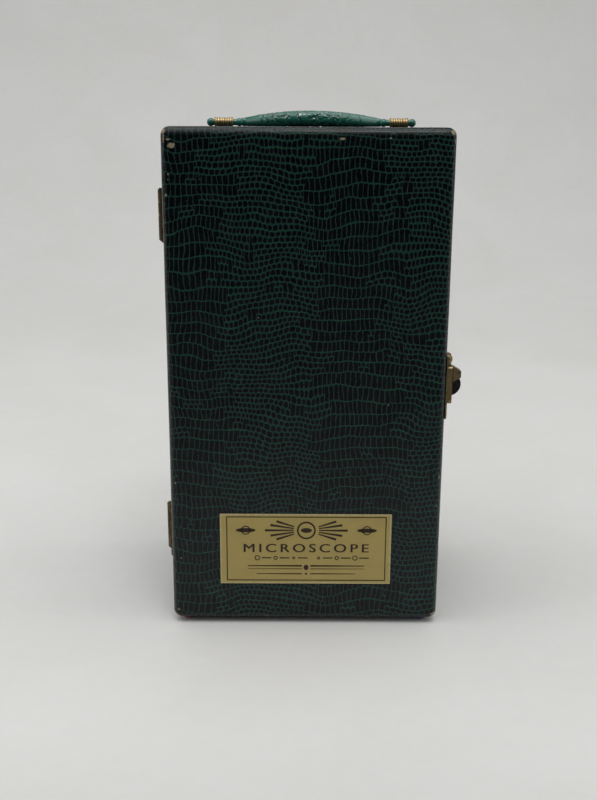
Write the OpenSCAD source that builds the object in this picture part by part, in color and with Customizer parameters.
// Upright carrying case for a small compound microscope, with the microscope held inside it.
// Frame: the origin is on the floor, under the middle of the whole object. The door faces -Y,
// its hinges are on the -X side, its catch is on the +X side, and +Z is up. Millimetres.

/* [Case] */
// Outer width of the case over its covering
case_w = 140; // [130:1:180]
// Outer height of the case without its feet
case_h = 253; // [250:1:310]
// Outer depth of the closed case
case_d = 112; // [110:1:140]
// Depth of the door from its front face to the seam
door_d = 19; // [17:0.5:22]
// Thickness of the wooden boards
board_t = 6; // [5:0.5:7.5]
// Thickness of the door's front panel and of the back panel
panel_t = 4; // [3:0.5:5]
// Thickness of the paper covering with its glue
cover_t = 0.6; // [0.4:0.1:1]
// Radius of the long outer edges
edge_r = 4.5; // [3:0.5:5.5]
// Radius of the corners seen from the front
corner_r = 5.5; // [5:0.5:7]
// Gap between the closed door and the case
seam_gap = 0.3; // [0.2:0.1:0.6]

/* [Label] */
// Width of the name label
label_w = 89; // [70:1:100]
// Height of the name label
label_h = 39; // [30:1:48]
// Thickness of the label
label_t = 0.2; // [0.1:0.05:0.4]
// Height of the label's lower edge above the case's bottom edge
label_rise = 20.9; // [15:0.1:40]

/* [Feet] */
// Height of a foot's domed head
foot_h = 2.4; // [1.8:0.1:3.5]
// Radius of a foot's head
foot_r = 4.5; // [3.5:0.1:5.5]
// Radius of the flat that a foot stands on
foot_flat_r = 2; // [1.2:0.1:3]
// Distance of each foot's centre from the nearest side face
foot_inset = 8; // [7:0.5:14]
// Radius of a foot's nail
foot_nail_r = 0.8; // [0.6:0.1:1.2]
// Length of a foot's nail above its head
foot_nail_l = 5; // [3.5:0.5:5.2]

/* [Hinges] */
// Length of a hinge along the pin
hinge_len = 25; // [20:1:32]
// Width of one leaf from the pin's centre
leaf_w = 12.5; // [11:0.5:14]
// Thickness of a leaf
leaf_t = 0.9; // [0.7:0.1:1.1]
// Distance of the pin's centre from the case's side face
hinge_off = 2.2; // [2.1:0.1:3]
// Radius of a hinge knuckle
knuckle_r = 1.8; // [1.6:0.05:1.8]
// Radius of a hinge pin
pin_r = 0.9; // [0.7:0.05:1]
// Running clearance round a hinge pin, on the radius
pin_clear = 0.06; // [0.02:0.01:0.1]
// Distance of the upper hinge's middle below the case's top
upper_hinge_drop = 42.4; // [25:0.1:80]
// Height of the lower hinge's middle above the case's bottom
lower_hinge_rise = 46.2; // [25:0.1:80]

/* [Catch] */
// Height of the catch's plates
catch_h = 34; // [30:1:40]
// Width of the catch's door plate across the seam direction
catch_w = 15; // [14:0.5:16]
// Thickness of the catch's sheet brass
sheet_t = 0.8; // [0.6:0.1:1]
// Height of the door plate's raised pan above the side face
pan_h = 3.2; // [2.6:0.1:3.6]
// Width of the swinging hasp
hasp_w = 11; // [9:0.5:13]
// Thickness of the hasp
hasp_t = 0.9; // [0.7:0.1:1.2]
// Radius of the hasp's half-round thumb tab
tab_r = 6.1; // [5:0.1:7]
// Distance that the thumb tab stands out from the side face
tab_out = 8.5; // [7.5:0.1:10]
// Distance that the sliding button stands out from the side face
button_out = 7.4; // [6.5:0.1:8]
// Travel of the sliding button
button_travel = 2.5; // [1.5:0.1:3]

/* [Handle] */
// Distance between the middles of the two handle loops
loop_span = 91; // [80:1:100]
// Distance of the handle's middle from the case's middle, towards the catch
handle_shift = 2; // [0:0.1:4]
// Length of a handle loop along its axis
loop_len = 9.4; // [7:0.1:11]
// Outer radius of a handle loop at its flanges
loop_r = 2.5; // [2.3:0.1:3]
// Radius of the handle's round neck, which turns in the loop
neck_r = 1.7; // [1.3:0.05:1.8]
// Radius of the balls on both sides of each loop
ball_r = 2.1; // [2:0.05:2.2]
// Length of the grip between the inner balls
grip_len = 73; // [60:1:80]
// Radius of the grip at its middle
grip_r = 4.3; // [3.5:0.1:5.5]
// Radius of the grip at its ends
grip_end_r = 2; // [1.6:0.1:2.1]
// Depth of the grip's bow
bow_h = 22; // [16:0.5:30]
// Clearance between the lying grip and the case's top
grip_clear = 0.35; // [0.3:0.05:1]

/* [Microscope] */
// Width of the base
base_w = 76; // [60:1:90]
// Length of the base in front of the light axis
base_front = 32; // [28:1:33]
// Length of the base behind the light axis
base_rear = 52; // [50:1:52]
// Height of the base
base_h = 12; // [10:1:16]
// Width of the step round the base that the cleats hold down
base_lip = 3; // [2:0.5:5]
// Thickness of the arm
arm_t = 16; // [12:1:20]
// Height of the stage's upper face above the base's underside
stage_z = 69; // [66:1:72]
// Thickness of the stage
stage_t = 3; // [2:0.5:4]
// Side of the stage
stage_w = 64; // [54:1:76]
// Outer radius of the body tube
tube_r = 11; // [10:0.5:12]
// Wall of the body tube
tube_wall = 1; // [0.6:0.1:1.5]
// Length of the body tube
tube_len = 88; // [80:1:92]
// Running clearance of the tube in its sleeve, on the radius
tube_clear = 0.06; // [0.02:0.01:0.1]
// Radius of the turret
turret_r = 20; // [19:0.5:21]
// Distance of each objective from the turret's centre
turret_throw = 12; // [11:0.5:13]
// Radius of an objective's barrel
objective_r = 5.5; // [4.5:0.1:6]
// Length of the longest objective
objective_len = 22; // [18:1:23]
// Radius of the mirror with its ring
mirror_r = 17; // [14:0.5:18]
// Radius of a focusing knob
knob_r = 13; // [10:0.5:14]
// Width of a focusing knob
knob_w = 9; // [7:0.5:12]

/* [Focusing gear] */
// Gear module of the rack and pinion
gear_m = 0.8; // [0.7:0.05:0.9]
// Number of teeth on the pinion
gear_teeth = 12; // [12:1:14]
// Radius of the pinion's shaft
shaft_r = 2; // [1.6:0.1:2.2]
// Upward travel of the tube from rest
focus_up = 9; // [4:1:10]
// Downward travel of the tube from rest
focus_down = 6; // [2:1:7]

/* [Hidden] */
$fn = 48;
// A length longer than the object, for cuts that run right through
far = 1000;

// Colours
leatherette = [0.05, 0.12, 0.10];
wood = [0.72, 0.56, 0.36];
brass = [0.62, 0.50, 0.28];
old_brass = [0.42, 0.34, 0.22];
nickel = [0.78, 0.77, 0.74];
enamel = [0.05, 0.05, 0.06];
glass = [0.75, 0.86, 0.90];

// The catch stands out further than the hinges, so the case sits this far off the middle
hinge_out = hinge_off + knuckle_r;
case_x = (hinge_out - tab_out) / 2;
case_z = foot_h;
case_top = case_z + case_h;
seam_y = door_d - case_d / 2;
wall = cover_t + board_t;
inner_x = case_w / 2 - wall;
inner_low = case_z + wall;
inner_high = case_top - wall;
panel_front_y = -case_d / 2 + cover_t + panel_t;
back_y = case_d / 2 - cover_t - panel_t;
upper_hinge_z = case_top - upper_hinge_drop;
lower_hinge_z = case_z + lower_hinge_rise;

// Hinges
hinge_segments = 4;
leaf_start = knuckle_r + 0.6;
knuckle_gap = 0.1;
hinge_nail_y = 7.6;
hinge_nail_z = hinge_len * 0.3;
nail_r = 0.6;
nail_head_r = 1.3;
nail_head_h = 0.5;
nail_l = 5;

// Catch, measured from the seam and from the catch's middle
catch_z = case_top - case_h / 2 + 0.5;
plate_gap = 1.3;
hasp_pivot_y = 8;
hasp_x = pan_h + 0.3 + hasp_t / 2;
hasp_pin_r = 0.85;
hasp_knuckle_r = 1.7;
hasp_reach = 17;
hasp_gap = 0.25;
stud_r = 1.8;
stud_y = -5;
button_low = 2.5;
button_high = 10.5;
button_y = -15.2;
button_depth = 5;
button_slot_w = 2.4;
rivet_r = 0.8;
rivet_head_r = 1.5;
boss_r = 3.2;
boss_edge = 0.6;
rivet_inset = 3.4;
rivet_rise = 4;
case_plate_inset = 2;
case_rivet_y = 3.8;
case_rivet_inset = 5;
bearing_end_w = (catch_h - 10 - hasp_w) / 2;
pan_rise = 8;
pan_drop = 6.4;
pan_rim = 1.2;

// Handle
loop_bore = neck_r + 0.05;
axis_z = case_top + loop_r;
bow_lift = asin((grip_clear + grip_r - loop_r) / bow_h);
tail_w = 5;
tail_t = 0.6;
tail_slot = 0.1;
tail_bend = 4;
grip_rings = 24;
grip_sides = 16;

// Microscope, measured from its light axis and the base's underside
base_gap = 1.4;
axis_y = back_y - base_gap - base_rear;
floor_z = inner_low;
base_step = base_h / 2;
base_corner = 10;
notch_w = 36;
notch_d = 16;
pillar_y = 26;
pillar_d = 16;
ring_y = 18;
ring_r = 34;
ring_hole = 20;
ring_z = stage_z + 35;
head_half = 12;
sleeve_wall = 3.5;
sleeve_low = ring_z + 30;
sleeve_high = ring_z + 80;
tube_low = ring_z + 12;
seat_t = 5;
disc_t = 4.7;
disc_gap = 0.3;
disc_low = tube_low - seat_t - disc_gap - disc_t;
rack_w = 5;
rack_t = 3;
rack_gap = 0.5;
gear_add = 0.85 * gear_m;
gear_ded = 1.25 * gear_m;
gear_pitch_r = gear_m * gear_teeth / 2;
gear_pitch = PI * gear_m;
gear_slack = 0.12;
pinion_y = tube_r + rack_t - gear_add + gear_pitch_r;
pinion_z = ring_z + 56;
pinion_w = 6;
head_back = pinion_y + 9;
cover_plate_t = 1.5;
shaft_clear = 0.05;
knob_x = head_half + 4;
eyepiece_h = 12;
tube_top = tube_low + tube_len;
mirror_z = base_h + 26;
mirror_t = 6;
fork_t = 2;
fork_gap = 1.3;
fork_bar_t = 3;
fork_bar_z = mirror_z - mirror_r - 1 - fork_bar_t;
fork_post_r = 3;
trunnion_r = 1.2;
clip_x = stage_w / 2 - 11;
clip_y = 20;
clip_t = 0.6;
clip_w = 6;
clip_l = 30;
stud_pin_r = 1.3;
screw_r = 1.5;
screw_head_r = 2.6;
cleat_h = 14;
cleat_gap = 0.3;

// Places a piece that is drawn about the case's own middle
module in_case() translate([case_x, 0, 0]) children();

// Places a piece that is drawn about the microscope's light axis
module in_scope() translate([case_x, axis_y, floor_z]) children();

// Places a piece that is drawn about the catch's middle on the seam, with +X outwards
module in_catch() translate([case_x + case_w / 2, seam_y, catch_z]) children();

// A block between two opposite corners
module span(low, high) translate(low) cube(high - low);

// A centred rectangle with round corners
module rounded_rect(w, h, r) {
    square([w - 2 * r, h], center = true);
    square([w, h - 2 * r], center = true);
    for (x = [-1, 1], y = [-1, 1])
        translate([x * (w / 2 - r), y * (h / 2 - r)]) circle(r);
}

// Extrudes a drawing of the YZ plane along X, from -t/2 to t/2
module along_x(t) translate([-t / 2, 0, 0]) rotate([90, 0, 90]) linear_extrude(t) children();

// Extrudes a drawing of the XZ plane along Y, from -t/2 to t/2
module along_y(t) translate([0, t / 2, 0]) rotate([90, 0, 0]) linear_extrude(t) children();

// A block standing on z = 0 with round edges all over
module rounded_block(w, d, h, edge, corner) {
    intersection() {
        linear_extrude(h) rounded_rect(w, d, edge);
        translate([0, 0, h / 2]) along_y(d) rounded_rect(w, h, corner);
        translate([0, 0, h / 2]) along_x(w) rounded_rect(d, h, edge);
    }
}

// The whole closed case over its covering
module outer_block() translate([0, 0, case_z]) rounded_block(case_w, case_d, case_h, edge_r, corner_r);

// The same without the covering, which the boards are shaped to
module core_block() {
    c = 2 * cover_t;
    translate([0, 0, case_z + cover_t])
        rounded_block(case_w - c, case_d - c, case_h - c, edge_r - cover_t, corner_r - cover_t);
}

// Everything behind the seam, and everything in front of it
module behind_seam() span([-far, seam_y + seam_gap / 2, -far], [far, far, far]);
module before_seam() span([-far, -far, -far], [far, seam_y - seam_gap / 2, far]);

// One board of the core between two opposite corners
module board(low, high) {
    intersection() {
        core_block();
        span(low, high);
    }
}

// Case body -----------------------------------------------------------------------------

module case_top_board() color(wood) in_case() difference() {
    board([-far, seam_y + seam_gap / 2, inner_high], [far, back_y, far]);
    loop_slots();
}

module case_bottom_board() color(wood) in_case() difference() {
    board([-far, seam_y + seam_gap / 2, -far], [far, back_y, inner_low]);
    foot_places(case_foot_spots()) foot_nail();
}

module case_hinge_side_board() color(wood) in_case() difference() {
    board([-far, seam_y + seam_gap / 2, inner_low], [-inner_x, back_y, inner_high]);
    hinge_nail_places(1) nail_shank();
}

module case_latch_side_board() color(wood) in_case() difference() {
    board([inner_x, seam_y + seam_gap / 2, inner_low], [far, back_y, inner_high]);
    from_case_to_catch() rivet_places(case_rivet_spots()) nail_shank();
}

module case_back_panel() color(wood) in_case() board([-far, back_y, -far], [far, far, far]);

module case_covering() color(leatherette) in_case() difference() {
    intersection() {
        outer_block();
        behind_seam();
    }
    core_block();
    loop_slots();
    foot_places(case_foot_spots()) foot_nail();
    hinge_nail_places(1) nail_shank();
    from_case_to_catch() rivet_places(case_rivet_spots()) nail_shank();
}

// Feet ------------------------------------------------------------------------------------

function foot_x() = case_w / 2 - foot_inset;
function case_foot_spots() = [
    for (x = [-1, 1], y = [seam_y + foot_inset, case_d / 2 - foot_inset]) [x * foot_x(), y]
];
function door_foot_spot(side) = [[side * foot_x(), foot_inset - case_d / 2]];

module foot_places(spots) for (s = spots) translate([s[0], s[1], 0]) children();

module foot_nail() translate([0, 0, foot_h]) cylinder(foot_nail_l, r = foot_nail_r);

// A domed nail-on foot: a ball cut to a rim at the case and to a flat on the floor
module foot() {
    rim = 0.3;
    rise = foot_h - rim;
    centre = (foot_r * foot_r + rise * rise - foot_flat_r * foot_flat_r) / (2 * rise);
    ball = sqrt(foot_flat_r * foot_flat_r + centre * centre);
    intersection() {
        translate([0, 0, centre]) sphere(ball);
        cylinder(foot_h, r = foot_r);
    }
    foot_nail();
}

module case_feet() color("darkred") in_case() foot_places(case_foot_spots()) foot();
module door_foot_left() color("darkred") in_case() foot_places(door_foot_spot(-1)) foot();
module door_foot_right() color("navy") in_case() foot_places(door_foot_spot(1)) foot();

// Handle ----------------------------------------------------------------------------------

module loop_slots() {
    for (side = [-1, 1]) {
        low = [handle_shift + side * loop_span / 2 - tail_w / 2, -tail_slot - tail_t, 0];
        translate([0, 0, case_top - 2 * wall]) span(low, low + [tail_w, 2 * (tail_slot + tail_t), far]);
    }
}

// A loop of rolled sheet brass, with two tails that pass through the top and are bent apart
module handle_loop(side) color(brass) in_case() translate([handle_shift + side * loop_span / 2, 0, axis_z]) {
    difference() {
        union() {
            rotate([0, 90, 0]) rotate_extrude() loop_profile();
            span([-tail_w / 2, -tail_slot - tail_t, -loop_r], [tail_w / 2, tail_slot + tail_t, -neck_r]);
        }
        rotate([0, 90, 0]) cylinder(2 * loop_len, r = loop_bore, center = true);
    }
    under = inner_high - axis_z;
    for (y = [-1, 1]) {
        tail_y = y * (tail_slot + tail_t / 2);
        translate([0, tail_y, (under - loop_r) / 2]) cube([tail_w, tail_t, -loop_r - under], center = true);
        translate([0, y * (tail_slot + tail_bend / 2), under - tail_t / 2])
            cube([tail_w, tail_bend, tail_t], center = true);
    }
}

// Half section of the rolled loop: a flange at each end and three ribs between
module loop_profile() {
    groove = 0.35;
    flange = 1;
    rib = 0.9;
    translate([loop_bore, -loop_len / 2]) square([loop_r - groove - loop_bore, loop_len]);
    for (y = [-1, 1])
        translate([loop_bore, y * (loop_len - flange) / 2 - flange / 2]) square([loop_r - loop_bore, flange]);
    for (y = [-1, 0, 1])
        translate([loop_bore, y * loop_len / 4 - rib / 2]) square([loop_r - groove / 2 - loop_bore, rib]);
}

module handle_loop_left() handle_loop(-1);
module handle_loop_right() handle_loop(1);

// The grip bows from ball to ball: u runs from -1 to 1 along it
function grip_radius(u) = grip_end_r + (grip_r - grip_end_r) * (1 - u * u);
function grip_ring(u) = let (
    half = grip_len / 2,
    slope = [half, -2 * bow_h * u] / norm([half, 2 * bow_h * u])
) [for (i = [0 : grip_sides - 1]) let (
    a = 360 * i / grip_sides,
    r = grip_radius(u)
) [half * u - slope[1] * r * cos(a), r * sin(a), bow_h * (1 - u * u) + slope[0] * r * cos(a)]];

module grip_sweep() {
    rings = [for (i = [0 : grip_rings]) each grip_ring(2 * i / grip_rings - 1)];
    sides = [for (i = [0 : grip_rings - 1], j = [0 : grip_sides - 1]) let (
        a = i * grip_sides + j,
        b = i * grip_sides + (j + 1) % grip_sides
    ) [a, b, b + grip_sides, a + grip_sides]];
    first = [for (j = [grip_sides - 1 : -1 : 0]) j];
    last = [for (j = [0 : grip_sides - 1]) grip_rings * grip_sides + j];
    polyhedron(rings, concat([first], sides, [last]));
}

// Half section of one end of the handle: the neck with the balls on both sides of its loop
module neck_profile() {
    ball_in = grip_len / 2 + grip_end_r / 2;
    ball_out = loop_span / 2 + loop_len / 2 + 0.4 + ball_r * 0.8;
    intersection() {
        union() {
            for (y = [ball_in, ball_out]) translate([0, y]) circle(ball_r);
            translate([0, ball_in]) square([neck_r, ball_out - ball_in]);
        }
        square(far);
    }
}

module handle_grip() color("seagreen") in_case() translate([handle_shift, 0, axis_z]) rotate([bow_lift - 90, 0, 0]) {
    grip_sweep();
    for (side = [-1, 1]) rotate([0, side * 90, 0]) rotate_extrude() neck_profile();
}

// Door ------------------------------------------------------------------------------------

module door_panel() color(wood) in_case() board([-far, -far, -far], [far, panel_front_y, far]);

module door_top_rail() color(wood) in_case()
    board([-far, panel_front_y, inner_high], [far, seam_y - seam_gap / 2, far]);

module door_bottom_rail() color(wood) in_case() difference() {
    board([-far, panel_front_y, -far], [far, seam_y - seam_gap / 2, inner_low]);
    foot_places(concat(door_foot_spot(-1), door_foot_spot(1))) foot_nail();
}

module door_hinge_stile() color(wood) in_case() difference() {
    board([-far, panel_front_y, inner_low], [-inner_x, seam_y - seam_gap / 2, inner_high]);
    hinge_nail_places(-1) nail_shank();
}

module door_latch_stile() color(wood) in_case() difference() {
    board([inner_x, panel_front_y, inner_low], [far, seam_y - seam_gap / 2, inner_high]);
    from_case_to_catch() rivet_places(door_rivet_spots()) nail_shank();
}

module door_covering() color(leatherette) in_case() difference() {
    intersection() {
        outer_block();
        before_seam();
    }
    core_block();
    foot_places(concat(door_foot_spot(-1), door_foot_spot(1))) foot_nail();
    hinge_nail_places(-1) nail_shank();
    from_case_to_catch() rivet_places(door_rivet_spots()) nail_shank();
}

module name_label() color("goldenrod") in_case()
    span([-label_w / 2, -case_d / 2 - label_t, case_z + label_rise],
         [label_w / 2, -case_d / 2, case_z + label_rise + label_h]);

// Hinges ----------------------------------------------------------------------------------

// Places a hinge part: the pin is on the local Z axis and the case's side face is at x = hinge_off
module at_hinge(z) in_case() translate([-case_w / 2 - hinge_off, seam_y, z]) children();

// side is 1 for the leaf on the case and -1 for the leaf on the door
module hinge_leaf(side) {
    seg = hinge_len / hinge_segments;
    bore = side > 0 ? pin_r : pin_r + pin_clear;
    difference() {
        union() {
            leaf_bar(side, leaf_start, leaf_w, hinge_len, 0);
            for (i = [(side > 0 ? 0 : 1) : 2 : hinge_segments - 1]) {
                mid = (i + 0.5) * seg - hinge_len / 2;
                leaf_bar(side, 0, leaf_start, seg - 2 * knuckle_gap, mid);
                translate([0, 0, mid]) cylinder(seg - 2 * knuckle_gap, r = knuckle_r, center = true);
            }
        }
        cylinder(2 * hinge_len, r = bore, center = true);
        for (z = [-1, 1])
            translate([hinge_off, side * hinge_nail_y, z * hinge_nail_z]) rotate([0, 90, 0])
                cylinder(4 * leaf_t, r = nail_r, center = true);
    }
}

module leaf_bar(side, from, to, len, mid) {
    translate([hinge_off - leaf_t / 2, side * (from + to) / 2, mid]) cube([leaf_t, to - from, len], center = true);
}

module upper_hinge_case_leaf() color(old_brass) at_hinge(upper_hinge_z) hinge_leaf(1);
module upper_hinge_door_leaf() color(old_brass) at_hinge(upper_hinge_z) hinge_leaf(-1);
module lower_hinge_case_leaf() color(old_brass) at_hinge(lower_hinge_z) hinge_leaf(1);
module lower_hinge_door_leaf() color(old_brass) at_hinge(lower_hinge_z) hinge_leaf(-1);

module hinge_pins() color(old_brass) for (z = [upper_hinge_z, lower_hinge_z]) at_hinge(z) {
    head_h = 0.5;
    cylinder(hinge_len, r = pin_r, center = true);
    for (end = [-1, 1])
        translate([0, 0, end * (hinge_len + head_h) / 2]) cylinder(head_h, r = pin_r * 1.4, center = true);
}

// Nails point along +X into the hinge side, from the leaf's outer face at x = 0
module nail_shank() rotate([0, 90, 0]) cylinder(nail_l, r = nail_r);

module nail() {
    nail_shank();
    translate([-nail_head_h, 0, 0]) rotate([0, 90, 0])
        cylinder(nail_head_h, r1 = nail_head_r * 0.55, r2 = nail_head_r);
}

module hinge_nail_places(side) {
    for (z = [upper_hinge_z, lower_hinge_z], dz = [-1, 1])
        translate([-case_w / 2 - leaf_t, seam_y + side * hinge_nail_y, z + dz * hinge_nail_z]) children();
}

module hinge_nails_case() color(old_brass) in_case() hinge_nail_places(1) nail();
module hinge_nails_door() color(old_brass) in_case() hinge_nail_places(-1) nail();

// Catch -----------------------------------------------------------------------------------

module from_case_to_catch() translate([case_w / 2, seam_y, catch_z]) children();

// Rivet spots are [y, z]; a rivet's shank points along -X into the side
function case_rivet_spots() = [
    for (z = [-1, 1]) [hasp_pivot_y + case_rivet_y, z * (catch_h / 2 - case_rivet_inset)]
];
function door_rivet_spots() = [
    [-plate_gap - catch_w / 2, rivet_rise - catch_h / 2],
    [-plate_gap - rivet_inset, catch_h / 2 - rivet_inset]
];

module rivet_places(spots)
    for (s = spots) translate([sheet_t, s[0], s[1]]) mirror([1, 0, 0]) children();

module catch_plate(y0, y1, z0, z1, t) {
    r = 2;
    translate([t / 2, (y0 + y1) / 2, (z0 + z1) / 2]) along_x(t) rounded_rect(y1 - y0, z1 - z0, r);
}

module catch_case_plate() color(brass) in_catch() difference() {
    half_h = catch_h / 2 - case_plate_inset;
    web_t = 1.6;
    union() {
        catch_plate(plate_gap, plate_gap + catch_w, -half_h, half_h, sheet_t);
        for (side = [-1, 1]) translate([0, hasp_pivot_y, side * (hasp_w / 2 + hasp_gap + bearing_end_w / 2)]) {
            translate([hasp_x, 0, 0]) cylinder(bearing_end_w, r = hasp_knuckle_r, center = true);
            translate([hasp_x / 2, 0, 0]) cube([hasp_x, web_t, bearing_end_w], center = true);
        }
    }
    translate([hasp_x, hasp_pivot_y, 0]) cylinder(2 * catch_h, r = hasp_pin_r, center = true);
    rivet_places(case_rivet_spots()) nail_shank();
}

// The door plate: a sheet rim, a raised pan with a slot for the button, and a domed boss
module catch_door_plate() color(brass) in_catch() difference() {
    front = -plate_gap - catch_w;
    stud_proud = 0.2;
    union() {
        catch_plate(front, -plate_gap, -catch_h / 2, catch_h / 2, sheet_t);
        catch_plate(front + pan_rim, -plate_gap - pan_rim, pan_rise - catch_h / 2, catch_h / 2 - pan_drop, pan_h);
        translate([0, stud_y, 0]) rotate([0, 90, 0]) cylinder(pan_h + stud_proud, r = stud_r);
        intersection() {
            translate([pan_h - boss_r, front + boss_edge + boss_r, catch_h / 2 - boss_r]) sphere(boss_r);
            span([0, -far, -far], [far, far, far]);
        }
    }
    for (z = [button_low + button_high, button_low + button_high + 2 * button_travel])
        translate([pan_h, button_y + button_depth / 2, z / 2])
            cube([2 * (pan_h - sheet_t), button_slot_w + 0.2, button_high - button_low - 3], center = true);
    rivet_places(door_rivet_spots()) nail_shank();
}

// The hasp: a knuckle on its pin, a strap over the seam, and a half-round thumb tab
module catch_hasp() color([0.10, 0.07, 0.09]) in_catch() difference() {
    tip = hasp_pivot_y - hasp_reach;
    tab_t = 1;
    tab_x = tab_out - tab_r;
    union() {
        translate([hasp_x, hasp_pivot_y, 0]) cylinder(hasp_w, r = hasp_knuckle_r, center = true);
        span([hasp_x - hasp_t / 2, tip, -hasp_w / 2], [hasp_x + hasp_t / 2, hasp_pivot_y, hasp_w / 2]);
        intersection() {
            translate([tab_x, tip + tab_t / 2, 0]) rotate([90, 0, 0]) cylinder(tab_t, r = tab_r, center = true);
            span([hasp_x - hasp_t / 2, -far, -far], [far, far, far]);
        }
    }
    translate([hasp_x, hasp_pivot_y, 0]) cylinder(2 * hasp_w, r = hasp_pin_r + pin_clear, center = true);
    translate([hasp_x, stud_y, 0]) rotate([0, 90, 0]) cylinder(4 * hasp_t, r = stud_r + 0.4, center = true);
}

module catch_hasp_pin() color(brass) in_catch() translate([hasp_x, hasp_pivot_y, 0])
    cylinder(hasp_w + 2 * (hasp_gap + bearing_end_w) + 1, r = hasp_pin_r, center = true);

// The button: a bevelled block with a cross slot and a shank that runs in the pan's slot
module catch_button() color(brass) in_catch() {
    low = pan_h + 0.3;
    bevel = 2.4;
    shank_z = (button_low + button_high) / 2;
    translate([0, button_y + button_depth / 2, 0]) difference() {
        union() {
            along_y(button_depth) polygon([
                [low, button_low], [button_out, button_low + bevel],
                [button_out, button_high - bevel], [low, button_high]
            ]);
            translate([low, 0, shank_z])
                cube([2 * (low - sheet_t - 0.3), button_slot_w - 0.2, button_high - button_low - 4], center = true);
        }
        translate([button_out - 1.5, 0, button_high - bevel - 0.7]) cube([2, 2 * button_depth, 0.9], center = true);
    }
}

module catch_rivet() {
    head_h = 0.6;
    nail_shank();
    translate([-head_h, 0, 0]) rotate([0, 90, 0]) cylinder(head_h, r1 = rivet_head_r * 0.6, r2 = rivet_head_r);
}

module catch_rivets_case() color(brass) in_catch() rivet_places(case_rivet_spots()) catch_rivet();
module catch_rivets_door() color(brass) in_catch() rivet_places(door_rivet_spots()) catch_rivet();

// Cleats that hold the microscope's base ---------------------------------------------------

module scope_cleat(side) color(wood) in_scope() mirror([side > 0 ? 0 : 1, 0, 0]) {
    length = base_front + base_rear - 2 * base_corner;
    in_x = base_w / 2 + cleat_gap;
    step_z = base_step + cleat_gap;
    translate([0, (base_rear - base_front) / 2, 0]) along_y(length) polygon([
        [in_x, 0], [inner_x, 0], [inner_x, cleat_h],
        [in_x - base_lip + cleat_gap, cleat_h], [in_x - base_lip + cleat_gap, step_z], [in_x, step_z]
    ]);
}

module scope_cleat_left() scope_cleat(-1);
module scope_cleat_right() scope_cleat(1);

// Microscope stand ------------------------------------------------------------------------

// The base seen from above: a horseshoe with its notch at the front, drawn in by inset
module base_outline(inset) {
    length = base_front + base_rear;
    difference() {
        translate([0, (base_rear - base_front) / 2])
            rounded_rect(base_w - 2 * inset, length - 2 * inset, base_corner - inset);
        translate([0, notch_d - notch_w / 2 - base_front]) circle(notch_w / 2 + inset);
    }
}

module scope_base() color(enamel) in_scope() difference() {
    union() {
        linear_extrude(base_step) base_outline(0);
        linear_extrude(base_h) base_outline(base_lip);
    }
    translate([0, 0, base_step - 1]) cylinder(base_h, r = fork_post_r + shaft_clear);
    arm_screw_spots() cylinder(3 * base_h, r = screw_r, center = true);
    arm_screw_spots() cylinder(2 * screw_head_r, r = screw_head_r, center = true);
}

module arm_screw_spots() for (y = [4.5, pillar_d - 4.5]) translate([0, pillar_y + y, 0]) children();

module arm_outline() {
    difference() {
        union() {
            translate([pillar_y, base_h]) square([pillar_d, stage_z + 11 - base_h]);
            intersection() {
                translate([ring_y, ring_z]) circle(ring_r, $fn = 96);
                translate([pillar_y - 2, 0]) square(far);
            }
            translate([tube_r + 1, sleeve_low - 8]) square([head_back - tube_r - 1, sleeve_high - sleeve_low + 8]);
        }
        translate([ring_y, ring_z]) circle(ring_hole, $fn = 96);
    }
}

// The arm: base pillar, curved grip, tube sleeve, pinion bearings and stage bracket in one casting
module scope_arm() color(enamel) in_scope() difference() {
    bracket_d = 22;
    union() {
        along_x(arm_t) arm_outline();
        translate([0, 0, sleeve_low]) cylinder(sleeve_high - sleeve_low, r = tube_r + sleeve_wall);
        span([-head_half, tube_r - 4, pinion_z - 10], [head_half, head_back, pinion_z + 10]);
        span([-arm_t / 2 - 4, pillar_y - bracket_d + 4, stage_z - stage_t - 8],
             [arm_t / 2 + 4, pillar_y + pillar_d / 2, stage_z - stage_t]);
    }
    translate([0, 0, sleeve_low - far / 2]) cylinder(far, r = tube_r + tube_clear);
    span([-rack_w / 2 - rack_gap, 0, sleeve_low - far / 2],
         [rack_w / 2 + rack_gap, tube_r + rack_t + rack_gap, sleeve_high + far / 2]);
    translate([0, pinion_y, pinion_z]) rotate([0, 90, 0]) {
        cylinder(4 * head_half, r = shaft_r + shaft_clear, center = true);
        cylinder(pinion_w + 1, r = gear_pitch_r + gear_add + 0.6, center = true);
    }
    pocket = gear_pitch_r + gear_add + 0.6;
    span([-pinion_w / 2 - 0.5, pinion_y, pinion_z - pocket], [pinion_w / 2 + 0.5, far, pinion_z + pocket]);
    arm_screw_spots() cylinder(base_h + 10, r = screw_r);
    stage_screw_spots() cylinder(6, r = screw_r, center = true);
    cover_screw_spots() rotate([90, 0, 0]) cylinder(6, r = 1, center = true);
}

module stage_screw_spots() for (x = [-1, 1]) translate([x * 7, pillar_y - 11, stage_z - stage_t]) children();
module cover_screw_spots() for (x = [-1, 1]) translate([x * (head_half - 4), head_back, pinion_z]) children();

module scope_screws() color(nickel) in_scope() {
    arm_screw_spots() {
        cylinder(base_h + 9, r = screw_r);
        cylinder(screw_head_r, r = screw_head_r);
    }
    stage_screw_spots() {
        translate([0, 0, -3]) cylinder(3 + stage_t, r = screw_r);
        translate([0, 0, stage_t - 1]) cylinder(1, r1 = screw_r, r2 = screw_head_r - 0.2);
    }
    cover_screw_spots() rotate([90, 0, 0]) {
        translate([0, 0, -cover_plate_t]) cylinder(cover_plate_t + 3, r = 1);
        translate([0, 0, -cover_plate_t - 0.8]) cylinder(0.8, r1 = 1.2, r2 = 2);
    }
}

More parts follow.
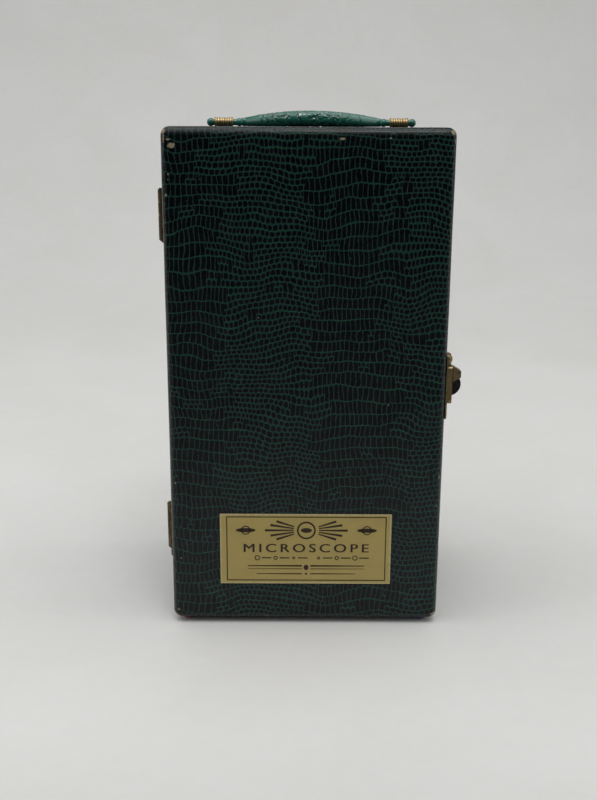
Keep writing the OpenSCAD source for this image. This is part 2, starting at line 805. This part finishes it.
module pinion_cover() color(enamel) in_scope() difference() {
    translate([0, head_back + cover_plate_t / 2, pinion_z]) along_y(cover_plate_t)
        rounded_rect(2 * head_half - 1, 18, 3);
    cover_screw_spots() rotate([90, 0, 0]) cylinder(4 * cover_plate_t, r = 1, center = true);
}

// Stage -----------------------------------------------------------------------------------

module clip_spots(sides) for (x = sides) translate([x * clip_x, clip_y, stage_z]) children();

module stage_plate() color(enamel) in_scope() difference() {
    stage_back = pillar_y - 0.5;
    translate([0, stage_back - stage_w / 2, stage_z - stage_t]) linear_extrude(stage_t)
        rounded_rect(stage_w, stage_w, 5);
    cylinder(2 * stage_z, r = 8);
    clip_spots([-1, 1]) cylinder(4 * stage_t, r = stud_pin_r, center = true);
    stage_screw_spots() cylinder(4 * stage_t, r = screw_r, center = true);
    stage_screw_spots() translate([0, 0, stage_t - 1]) cylinder(1, r1 = screw_r, r2 = screw_head_r - 0.2);
}

// A sprung strip that turns on its stud and presses a slide down with its raised tip
module stage_clip(side) color(nickel) in_scope() clip_spots([side]) translate([0, 0, 0.3]) difference() {
    tip_t = 1.4;
    union() {
        cylinder(clip_t, r = clip_w / 2);
        span([-clip_w / 2 + 0.8, -clip_l, 0], [clip_w / 2 - 0.8, 0, clip_t]);
        translate([0, -clip_l, tip_t / 2 + clip_t - 0.8]) rotate([0, 90, 0])
            cylinder(clip_w - 1.6, r = tip_t / 2, center = true);
    }
    cylinder(4 * clip_t, r = stud_pin_r + pin_clear, center = true);
}

module stage_clip_left() stage_clip(-1);
module stage_clip_right() stage_clip(1);

module clip_studs() color(nickel) in_scope() clip_spots([-1, 1]) {
    head_z = 0.3 + clip_t + 0.1;
    translate([0, 0, -stage_t]) cylinder(stage_t + head_z, r = stud_pin_r);
    translate([0, 0, head_z]) cylinder(1.2, r1 = stud_pin_r + 1.2, r2 = stud_pin_r + 0.6);
}

// Mirror ----------------------------------------------------------------------------------

module mirror_fork() color(nickel) in_scope() difference() {
    in_x = mirror_r + fork_gap;
    out_x = in_x + fork_t;
    union() {
        translate([0, 0, base_step]) cylinder(fork_bar_z - base_step + 0.5, r = fork_post_r);
        span([-out_x, -3, fork_bar_z], [out_x, 3, fork_bar_z + fork_bar_t]);
        for (x = [-1, 1]) translate([x * (in_x + fork_t / 2), 0, mirror_z]) {
            along_x(fork_t) circle(4);
            translate([0, 0, (fork_bar_z - mirror_z) / 2]) cube([fork_t, 6, mirror_z - fork_bar_z], center = true);
        }
    }
    translate([0, 0, mirror_z]) rotate([0, 90, 0]) cylinder(far, r = trunnion_r + pin_clear, center = true);
}

module mirror_ring() color(nickel) in_scope() translate([0, 0, mirror_z]) rotate([45, 0, 0]) {
    reach = mirror_r + fork_gap + fork_t + 0.4;
    difference() {
        cylinder(mirror_t, r = mirror_r, center = true);
        cylinder(2 * mirror_t, r = mirror_r - 1.6, center = true);
    }
    for (x = [-1, 1]) translate([x * (reach + mirror_r - 1) / 2, 0, 0]) rotate([0, 90, 0])
        cylinder(reach - mirror_r + 1, r = trunnion_r, center = true);
}

module mirror_glass() color(glass) in_scope() translate([0, 0, mirror_z]) rotate([45, 0, 0])
    cylinder(mirror_t - 1.6, r = mirror_r - 1.6, center = true);

// Tube and focusing -----------------------------------------------------------------------

module body_tube() color(nickel) in_scope() translate([0, 0, tube_low]) difference() {
    cylinder(tube_len, r = tube_r);
    translate([0, 0, -1]) cylinder(tube_len + 2, r = tube_r - tube_wall);
}

// Rack teeth point towards +Y; one tooth is level with the pinion's centre at rest
module rack_tooth() {
    half = gear_pitch / 4 - gear_slack / 2;
    lean = tan(20);
    polygon([
        [-gear_ded, -half - gear_ded * lean], [gear_add, -half + gear_add * lean],
        [gear_add, half - gear_add * lean], [-gear_ded, half + gear_ded * lean]
    ]);
}

module focus_rack() color(brass) in_scope() difference() {
    pitch_y = tube_r + rack_t - gear_add;
    margin = 3 * gear_pitch;
    up = ceil((focus_down + margin) / gear_pitch);
    down = ceil((focus_up + margin) / gear_pitch);
    union() {
        along_x(rack_w) for (i = [-down : up])
            translate([pitch_y, pinion_z + i * gear_pitch]) rack_tooth();
        span([-rack_w / 2, tube_r - 2, pinion_z - (down + 0.5) * gear_pitch],
             [rack_w / 2, pitch_y - gear_ded + 0.01, pinion_z + (up + 0.5) * gear_pitch]);
    }
    cylinder(far, r = tube_r);
}

// One tooth of the pinion, centred on the angle 0
module pinion_tooth() {
    pitch_half = gear_pitch / 4 - gear_slack;
    polygon([
        [gear_pitch_r - gear_ded - 0.3, -1.25 * pitch_half], [gear_pitch_r - gear_ded + 0.4, -1.25 * pitch_half],
        [gear_pitch_r, -pitch_half], [gear_pitch_r + gear_add, -0.45 * pitch_half],
        [gear_pitch_r + gear_add, 0.45 * pitch_half], [gear_pitch_r, pitch_half],
        [gear_pitch_r - gear_ded + 0.4, 1.25 * pitch_half], [gear_pitch_r - gear_ded - 0.3, 1.25 * pitch_half]
    ]);
}

module focus_pinion() color(brass) in_scope() translate([0, pinion_y, pinion_z]) {
    along_x(pinion_w) {
        circle(gear_pitch_r - gear_ded);
        for (i = [0 : gear_teeth - 1])
            rotate(180 + (i + 0.5) * 360 / gear_teeth) pinion_tooth();
    }
    rotate([0, 90, 0]) cylinder(2 * knob_x + knob_w, r = shaft_r, center = true);
}

module focus_knob(side) color(enamel) in_scope() translate([side * knob_x, pinion_y, pinion_z])
    rotate([0, side * 90, 0]) difference() {
        grooves = 20;
        union() {
            cylinder(knob_w, r = knob_r);
            translate([0, 0, -2]) cylinder(2, r = shaft_r + 2.5);
        }
        for (i = [0 : grooves - 1])
            rotate(i * 360 / grooves) translate([knob_r + 0.3, 0, -1]) cylinder(knob_w + 2, r = 0.9, $fn = 16);
        translate([0, 0, -3]) cylinder(3 + knob_w / 2, r = shaft_r);
        translate([0, 0, knob_w - 1]) cylinder(2, r = knob_r - 3);
    }

module focus_knob_left() focus_knob(-1);
module focus_knob_right() focus_knob(1);

// Optics ----------------------------------------------------------------------------------

module eyepiece_shell() color(enamel) in_scope() translate([0, 0, tube_top]) difference() {
    union() {
        translate([0, 0, -8]) cylinder(9, r = tube_r - tube_wall);
        cylinder(eyepiece_h - 2, r = tube_r + 1);
        translate([0, 0, eyepiece_h - 2]) cylinder(2, r1 = tube_r + 1, r2 = tube_r - 1);
    }
    translate([0, 0, -9]) cylinder(eyepiece_h + 5, r = tube_r - tube_wall - 1.2);
    cylinder(2 * eyepiece_h, r = 3.5);
    translate([0, 0, eyepiece_h - 1.5]) cylinder(3, r1 = 3.5, r2 = 8);
}

module eyepiece_lens() color(glass) in_scope() translate([0, 0, tube_top + eyepiece_h - 6])
    cylinder(2, r = tube_r - tube_wall - 1.2);

module nosepiece_seat() color(nickel) in_scope() translate([0, 0, tube_low - seat_t]) difference() {
    union() {
        cylinder(seat_t, r = tube_r + 2);
        translate([0, -turret_throw, 0]) cylinder(seat_t, r = tube_r - 1);
        cylinder(seat_t + 6, r = tube_r - tube_wall);
    }
    cylinder(3 * seat_t, r = 5, center = true);
    translate([0, -turret_throw, 0]) cylinder(3 * seat_t, r = shaft_r, center = true);
}

module objective_spots(numbers)
    for (i = numbers) translate([0, -turret_throw, disc_low]) rotate(i * 120) translate([0, turret_throw, 0])
        children();

module turret_disc() color(nickel) in_scope() difference() {
    translate([0, -turret_throw, disc_low]) {
        cylinder(disc_t - 1.2, r = turret_r);
        cylinder(disc_t, r = turret_r - 1.2);
    }
    translate([0, -turret_throw, disc_low]) cylinder(3 * disc_t, r = shaft_r + shaft_clear, center = true);
    objective_spots([0 : 2]) cylinder(3 * disc_t, r = objective_r - 1.5, center = true);
}

module turret_screw() color(nickel) in_scope() translate([0, -turret_throw, disc_low]) {
    end_gap = 0.5;
    translate([0, 0, -0.2]) cylinder(disc_t + disc_gap + seat_t + 0.2 - end_gap, r = shaft_r);
    translate([0, 0, -1.7]) cylinder(1.5, r1 = shaft_r + 0.8, r2 = shaft_r + 1.8);
}

// A stepped barrel that narrows to its front lens; z = 0 is its seat on the turret
module objective(len) {
    difference() {
        union() {
            translate([0, 0, -len * 0.55]) cylinder(len * 0.55, r = objective_r);
            translate([0, 0, -len * 0.85]) cylinder(len * 0.3, r = objective_r - 1);
            translate([0, 0, -len]) cylinder(len * 0.15, r1 = objective_r - 2.7, r2 = objective_r - 1);
            cylinder(disc_t - 1, r = objective_r - 1.5);
        }
        cylinder(3 * len, r = 1.4, center = true);
        for (z = [0.12, 0.2, 0.28])
            translate([0, 0, -len * z]) rotate_extrude() translate([objective_r, 0]) square(0.6, center = true);
    }
}

module objective_high() color(nickel) in_scope() objective_spots([0]) objective(objective_len);
module objective_medium() color(nickel) in_scope() objective_spots([1]) objective(objective_len - 4);
module objective_low() color(nickel) in_scope() objective_spots([2]) objective(objective_len - 8);

module objective_lenses() color(glass) in_scope() for (i = [0 : 2])
    objective_spots([i]) translate([0, 0, 0.4 + 4 * i - objective_len]) cylinder(0.8, r = 1.4);

case_top_board();
case_bottom_board();
case_hinge_side_board();
case_latch_side_board();
case_back_panel();
case_covering();
case_feet();
handle_loop_left();
handle_loop_right();
handle_grip();
door_panel();
door_top_rail();
door_bottom_rail();
door_hinge_stile();
door_latch_stile();
door_covering();
name_label();
door_foot_left();
door_foot_right();
upper_hinge_case_leaf();
upper_hinge_door_leaf();
lower_hinge_case_leaf();
lower_hinge_door_leaf();
hinge_pins();
hinge_nails_case();
hinge_nails_door();
catch_case_plate();
catch_door_plate();
catch_hasp();
catch_hasp_pin();
catch_button();
catch_rivets_case();
catch_rivets_door();
scope_cleat_left();
scope_cleat_right();
scope_base();
scope_arm();
scope_screws();
stage_plate();
stage_clip_left();
stage_clip_right();
clip_studs();
mirror_fork();
mirror_ring();
mirror_glass();
body_tube();
focus_rack();
focus_pinion();
focus_knob_left();
focus_knob_right();
pinion_cover();
eyepiece_shell();
eyepiece_lens();
nosepiece_seat();
turret_disc();
turret_screw();
objective_low();
objective_medium();
objective_high();
objective_lenses();
